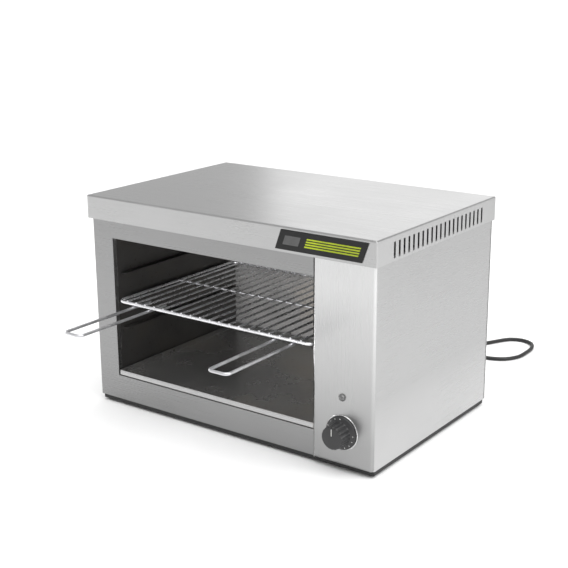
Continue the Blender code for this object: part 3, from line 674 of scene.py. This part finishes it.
def make_strain_relief():
    """The gland's nut and flange, with a ribbed tapered sleeve."""
    low, high = corners("cord_gland")
    reach = high.y - BACK
    root, tip, ribs = 0.0072, CORD_R + 0.0008, 6
    profile = [(0.0, reach), (tip - 0.0004, reach), (tip, reach - 0.0005)]
    first, last = reach - 0.003, 0.0075
    for rib in range(ribs):
        height = first + (last - first) * rib / (ribs - 1)
        radius = tip + (root - tip) * (reach - height) / (reach - 0.006)
        for shift, depth in ((0.0012, 0.0), (0.0009, 0.0009), (-0.0009, 0.0009), (-0.0012, 0.0)):
            profile.append((radius - depth, height + shift))
    flange = (high.x - low.x) / 2
    neck, nut = 0.0080, 0.0105
    profile += [
        (root, 0.0058),
        (flange - 0.0006, 0.0050),
        (flange, 0.0042),
        (flange, GAP),
        (neck, GAP),
        (neck, -0.0015),
        (nut, -0.0016),
        (nut, -0.0076),
        (nut - 0.0007, -0.0080),
        (0.0, -0.0080),
    ]
    relief = lathe("cord_strain_relief", profile, CORD_BLACK, 48)
    aim(relief, (centre("cord_gland").x, BACK, centre("cord_gland").z), (0, 1, 0))
    return finish_piece(relief, "casing", "cord_rubber", "cord_gland")


def make_plug():
    """A rounded plug body that narrows towards the cord."""
    low, high = corners("plug_body")
    middle = (low + high) / 2
    half = (high - low) / 2
    shape = bmesh.new()
    add_block(shape, -half, half)
    ends, along_cuts = (-0.72, 0.72), (-0.80, -0.25, 0.15, 0.45, 0.75)
    for index, cuts in enumerate((ends, along_cuts, ends)):
        for share in cuts:
            normal = [0, 0, 0]
            normal[index] = 1
            spot = [0, 0, 0]
            spot[index] = share * half[index]
            geometry = [*shape.verts, *shape.edges, *shape.faces]
            bmesh.ops.bisect_plane(shape, geom=geometry, plane_co=spot, plane_no=normal)
    taper_start, width_loss, height_loss = 0.45, 0.42, 0.30
    for corner in shape.verts:
        along = (corner.co.y + half.y) / (2 * half.y)
        taper = max(0.0, along - taper_start) / (1 - taper_start)
        corner.co.x *= 1.0 - width_loss * taper
        corner.co.z *= 1.0 - height_loss * taper
    plug = as_object("mains_plug", shape, BLACK_PLASTIC)
    rounding = plug.modifiers.new("rounding", "SUBSURF")
    rounding.levels = 2
    rounding.render_levels = 2
    plug.data.shade_smooth()
    plug.data.transform(Matrix.Translation(middle))
    return finish_piece(plug, "casing", "cord_rubber", "plug_body")


# ---------------------------------------------------------------- rack


def make_rack():
    """The welded grid: a rod frame, a bar across its middle and wires from front to back."""
    low, high = corners("rack_grid")
    rod, bar, thin = 0.003, 0.0023, 0.0020
    weld, overlap = 0.00037, 0.001
    corner_r = 0.012
    z = low.z + rod
    left, right = low.x + rod, high.x - rod
    depth = high.y - low.y - 2 * rod
    front = low.y + rod
    back = front + depth
    outline = [
        *arc((right - corner_r, front + corner_r), corner_r, -90, 0, 10),
        *arc((right - corner_r, back - corner_r), corner_r, 0, 90, 10),
        *arc((left + corner_r, back - corner_r), corner_r, 90, 180, 10),
        *arc((left + corner_r, front + corner_r), corner_r, 180, 270, 10),
    ]
    runs = [([(x, y, z) for x, y in outline], rod, True)]
    middle = front + depth / 2
    runs.append(([(left, middle, z), (right, middle, z)], bar, False))
    count = 19
    top = z + rod - weld
    for index in range(1, count + 1):
        x = left + (right - left) * index / (count + 1)
        runs.append(([(x, front - overlap, top), (x, back + overlap, top)], thin, False))
    grid = wires("rack_wires", runs, WIRE)
    finish_piece(grid, "rack", "chrome_wire", "rack_grid")
    make_welds(z + 0.8 * rod, front, back, left, right, count)
    make_handles()


def make_handles():
    """Hairpin handles, whose arms run under the front rod."""
    for name in ("rack_handle_left", "rack_handle_right"):
        low, high = corners(name)
        radius = (high.z - low.z) / 2
        height = (low.z + high.z) / 2
        left, right = low.x + radius, high.x - radius
        tip = low.y + radius
        plan = [
            (left, high.y),
            *arc((left + HANDLE_BEND, tip + HANDLE_BEND), HANDLE_BEND, 180, 270, 10),
            *arc((right - HANDLE_BEND, tip + HANDLE_BEND), HANDLE_BEND, 270, 360, 10),
            (right, high.y),
        ]
        run = ([(x, y, height) for x, y in plan], radius, False)
        handle = wires(name.replace("handle", "pull"), [run], PULL_WIRE, 5)
        finish_piece(handle, "rack", "chrome_wire", name)


def make_polished_bend():
    """A painted highlight: a near-white steel strip along the control panel's left bend, over its height."""
    low = corners("control_panel")[0]
    hood_low = corners("hood")[0].z
    sheet_thick, lift, margin = 0.0001, 0.00015, 0.0005
    radius = PANEL_BEND + lift
    centre_x, centre_y = low.x + PANEL_BEND, low.y + PANEL_BEND
    plan = arc((centre_x, centre_y), radius, 186, 268, 12)
    shape = bmesh.new()
    foot = [shape.verts.new((x, y, low.z + margin)) for x, y in plan]
    edges = [shape.edges.new(pair) for pair in zip(foot, foot[1:])]
    raised = bmesh.ops.extrude_edge_only(shape, edges=edges)["geom"]
    upper = [item for item in raised if isinstance(item, bmesh.types.BMVert)]
    bmesh.ops.translate(shape, verts=upper, vec=(0, 0, hood_low - low.z - margin - GAP))
    strip = smooth(as_object("left_bend_painted_highlight", shape, BEND_PAINTED_HIGHLIGHT), 60)
    sheet = strip.modifiers.new("sheet", "SOLIDIFY")
    sheet.thickness = sheet_thick
    sheet.offset = -1.0
    finish_piece(strip, "casing", "casing_steel")


def make_welds(z, front, back, left, right, count):
    """Flattened beads where the thin wires cross the front and back rods."""
    bead = Matrix.Diagonal((0.0030, 0.0026, 0.0014, 1.0))
    shape = bmesh.new()
    for index in range(1, count + 1):
        x = left + (right - left) * index / (count + 1)
        for y in (front, back):
            to_place = Matrix.Translation((x, y, z)) @ bead
            bmesh.ops.create_icosphere(shape, subdivisions=2, radius=1.0, matrix=to_place)
    finish_piece(smooth(as_object("rack_welds", shape, WIRE), 80), "rack", "chrome_wire")


# ---------------------------------------------------------------- chamber


def make_elements():
    """Smooth hairpin heating elements on the line of the two in the frame."""
    for name in ("front_element", "rear_element"):
        low, high = corners(name)
        radius = (high.z - low.z) / 2
        z = (low.z + high.z) / 2
        near, far = low.y + radius, high.y - radius
        bend = (far - near) / 2
        plan = [
            (high.x, near),
            *arc((low.x + radius + bend, (near + far) / 2), bend, 270, 90, 28),
            (high.x, far),
        ]
        run = ([(x, y, z) for x, y in plan], radius, False)
        element = wires(f"{name}_tube", [run], SHEATH, 6)
        finish_piece(element, "casing", "element_sheath", name)


def make_tray_rim():
    """A rolled hem along the crumb tray's front lip in bright steel, a painted highlight on the lip's top
    edge, and the lip's brushed face.
    """
    low, high = corners("crumb_tray")
    hem = 0.0011
    z = high.z - hem
    y = low.y + hem - 0.0004
    runs = [([(low.x + 0.002, y, z), (high.x - 0.002, y, z)], hem, False)]
    # Painted highlight: the hem is in bright steel, far lighter than the tray's own sheet.
    finish_piece(wires("tray_rim_painted_highlight", runs, BRIGHT_STEEL, 4), "tray", "liner_steel")
    lip = bmesh.new()
    inset = 0.0016
    add_block(
        lip,
        (low.x + inset, low.y - 0.0002, low.z + inset),
        (high.x - inset, low.y + 0.0003, z - hem),
    )
    finish_piece(as_object("tray_lip", lip, LIP_STEEL), "tray", "liner_steel")


# ---------------------------------------------------------------- rear fixings


def make_screws():
    """Pan heads with a cross recess, one for each of the four in the frame."""
    for index in range(1, 5):
        node = f"rear_screw_{index}"
        low, high = corners(node)
        radius = (high.x - low.x) / 2
        reach = high.y - low.y
        profile = [(0.0, reach)]
        for angle in (0.35, 0.7, 1.05, 1.4):
            profile.append((radius * 0.94 * math.sin(angle), reach * (0.3 + 0.7 * math.cos(angle))))
        profile += [(radius, reach * 0.2), (radius, 0.0), (0.0, 0.0)]
        head = lathe(f"screw_head_{index}", profile, BRIGHT_STEEL, 32)
        arm, blade = radius * 0.52, radius * 0.12
        for half_x, half_y in ((arm, blade), (blade, arm)):
            cross = bmesh.new()
            add_block(cross, (-half_x, -half_y, reach * 0.35), (half_x, half_y, reach * 1.5))
            cutter = as_object("screw_recess", cross)
            modifier = head.modifiers.new("recess", "BOOLEAN")
            modifier.operation = "DIFFERENCE"
            modifier.object = cutter
            bpy.context.view_layer.update()
            graph = bpy.context.evaluated_depsgraph_get()
            carved = bpy.data.meshes.new_from_object(head.evaluated_get(graph))
            head.modifiers.clear()
            head.data = carved
            bpy.data.objects.remove(cutter)
        smooth(head, 30)
        aim(head, (centre(node).x, low.y, centre(node).z), (0, 1, 0))
        finish_piece(head, "casing", "casing_steel", node)


# ---------------------------------------------------------------- controls


DIAL_TOP = 6
DIAL_STEP = math.radians(45)
MARK_RING = 0.0240
NUMERAL_RING = 0.0237
GRIP_R = 0.0195
FLUTES = 18
FLUTE_DEPTH = 0.0011


def make_knob():
    """A fluted grip on a printed skirt, with a pointer on its face."""
    middle = centre("knob")
    low, high = corners("knob")
    reach = high.y - low.y
    outer = size("knob").x / 2
    profile = [
        (0.0, reach),
        (GRIP_R - 0.0030, reach),
        (GRIP_R - 0.0012, reach - 0.0005),
        (GRIP_R, reach - 0.0018),
        (GRIP_R + 0.0008, 0.0085),
        (GRIP_R + 0.0013, 0.0058),
        (GRIP_R + 0.0030, 0.0047),
        (outer - 0.0020, 0.0035),
        (outer - 0.0004, 0.0022),
        (outer, 0.0014),
        (outer, 0.0),
        (0.0033, 0.0),
        (0.0033, 0.0170),
        (0.0, 0.0170),
    ]
    flutes = (FLUTES, FLUTE_DEPTH, 0.0080, reach - 0.0010)
    knob = lathe("control_knob", profile, BLACK_PLASTIC, 144, flutes)
    base = Vector((middle.x, high.y, middle.z))
    aim(knob, base, (0, -1, 0))
    finish_piece(knob, "knob", "knob_plastic", "knob")

    marks = bmesh.new()
    for index in range(DIAL_TOP):
        verts = add_block(marks, (-0.0004, -0.0016, 0), (0.0004, 0.0016, 0.0004))
        turn = Matrix.Rotation((index + 0.5) * DIAL_STEP, 4, "Z")
        bmesh.ops.transform(marks, verts=verts, matrix=turn @ Matrix.Translation((0, MARK_RING, 0.0040)))
    add_block(marks, (-0.0006, 0.004, reach - 0.0002), (0.0006, GRIP_R - 0.0035, reach + 0.0002))
    dial = as_object("dial_marks", marks, WHITE_INK)
    aim(dial, base, (0, -1, 0))
    finish_piece(dial, "knob", "knob_plastic")
    make_dial_numbers(base)


def make_dial_numbers(base):
    """Plain numerals round the knob's skirt; a clockwise turn brings the next one to the top."""
    for number in range(DIAL_TOP + 1):
        text = bpy.data.curves.new(f"numeral_{number}", "FONT")
        text.body = str(number)
        text.size = 0.0052
        text.extrude = 0.0001
        text.align_x = "CENTER"
        text.align_y = "CENTER"
        source = bpy.data.objects.new("numeral_source", text)
        bpy.context.scene.collection.objects.link(source)
        bpy.context.view_layer.update()
        graph = bpy.context.evaluated_depsgraph_get()
        mesh = bpy.data.meshes.new_from_object(source.evaluated_get(graph))
        bpy.data.objects.remove(source)
        mesh.materials.clear()
        mesh.materials.append(WHITE_INK)
        numeral = bpy.data.objects.new(f"dial_numeral_{number}", mesh)
        bpy.context.scene.collection.objects.link(numeral)
        turn = Matrix.Rotation(number * DIAL_STEP, 4, "Z")
        mesh.transform(turn @ Matrix.Translation((0, NUMERAL_RING, 0.0042)))
        aim(numeral, base, (0, -1, 0))
        finish_piece(numeral, "knob", "knob_plastic")


def make_lamp():
    """The pilot lamp's domed lens with its rim."""
    low, high = corners("lamp_lens")
    radius = (high.x - low.x) / 2
    reach = high.y - low.y
    profile = [(0.0, reach)]
    for angle in (0.3, 0.6, 0.9, 1.2, 1.5):
        profile.append((radius * 0.86 * math.sin(angle), reach * (0.25 + 0.75 * math.cos(angle))))
    profile += [(radius * 0.90, reach * 0.18), (radius, reach * 0.16), (radius, 0.0), (0.0, 0.0)]
    lens = lathe("pilot_lens", profile, LENS, 48)
    aim(lens, (centre("lamp_lens").x, high.y, centre("lamp_lens").z), (0, -1, 0))
    finish_piece(lens, "casing", "lamp_lens", "lamp_lens")


# ---------------------------------------------------------------- badge


BADGE_SLANT = 0.012
STRIPES = 4
STRIPE_PITCH = 0.0042
STRIPE_H = 0.0024


def make_badge():
    """A slanted black plate with raised lime stripes and a grey block, and nothing written on it."""
    low, high = corners("badge_plate")
    height = high.z - low.z
    width = high.x - low.x - BADGE_SLANT

    def slanted(shape, start, stop, bottom, top, near, far):
        verts = add_block(shape, (start, near, bottom), (stop, far, top))
        for corner in verts:
            corner.co.x += BADGE_SLANT * (corner.co.z - low.z) / height

    plate = bmesh.new()
    slanted(plate, low.x, low.x + width, low.z, high.z, low.y + 0.0003, high.y)
    face = as_object("badge_face", plate, BADGE_BLACK)
    rounded(face, 0.0005)
    finish_piece(face, "casing", "badge_face", "badge_plate")

    lime = bmesh.new()
    middle = low.z + height / 2
    start, stop = low.x + 0.054, low.x + width - 0.010
    for index in range(STRIPES):
        bottom = middle + STRIPE_PITCH * (index - STRIPES / 2) + (STRIPE_PITCH - STRIPE_H) / 2
        slanted(lime, start, stop, bottom, bottom + STRIPE_H, low.y, low.y + 0.0005)
    block = bmesh.new()
    half_h = 0.0075
    start, stop = low.x + 0.012, low.x + 0.042
    slanted(block, start, stop, middle - half_h, middle + half_h, low.y + 0.0001, low.y + 0.0005)
    finish_piece(rounded(as_object("badge_block", block, BADGE_GREY), 0.0001), "casing", "badge_face")
    finish_piece(rounded(as_object("badge_bars", lime, BADGE_LIME), 0.0001), "casing", "badge_face")


paint_nodes()
make_camera()
make_floor()
make_world()
make_lights()
make_cord()
make_rack()
make_elements()
make_tray_rim()
make_polished_bend()
make_screws()
make_knob()
make_lamp()
make_badge()

CHAMBER = ("chamber_back_wall", "crumb_tray")
light_the_chamber([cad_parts[name] for name in CHAMBER] + [bpy.data.objects["rack_wires"]])

bpy.context.scene.view_settings.view_transform = "Standard"
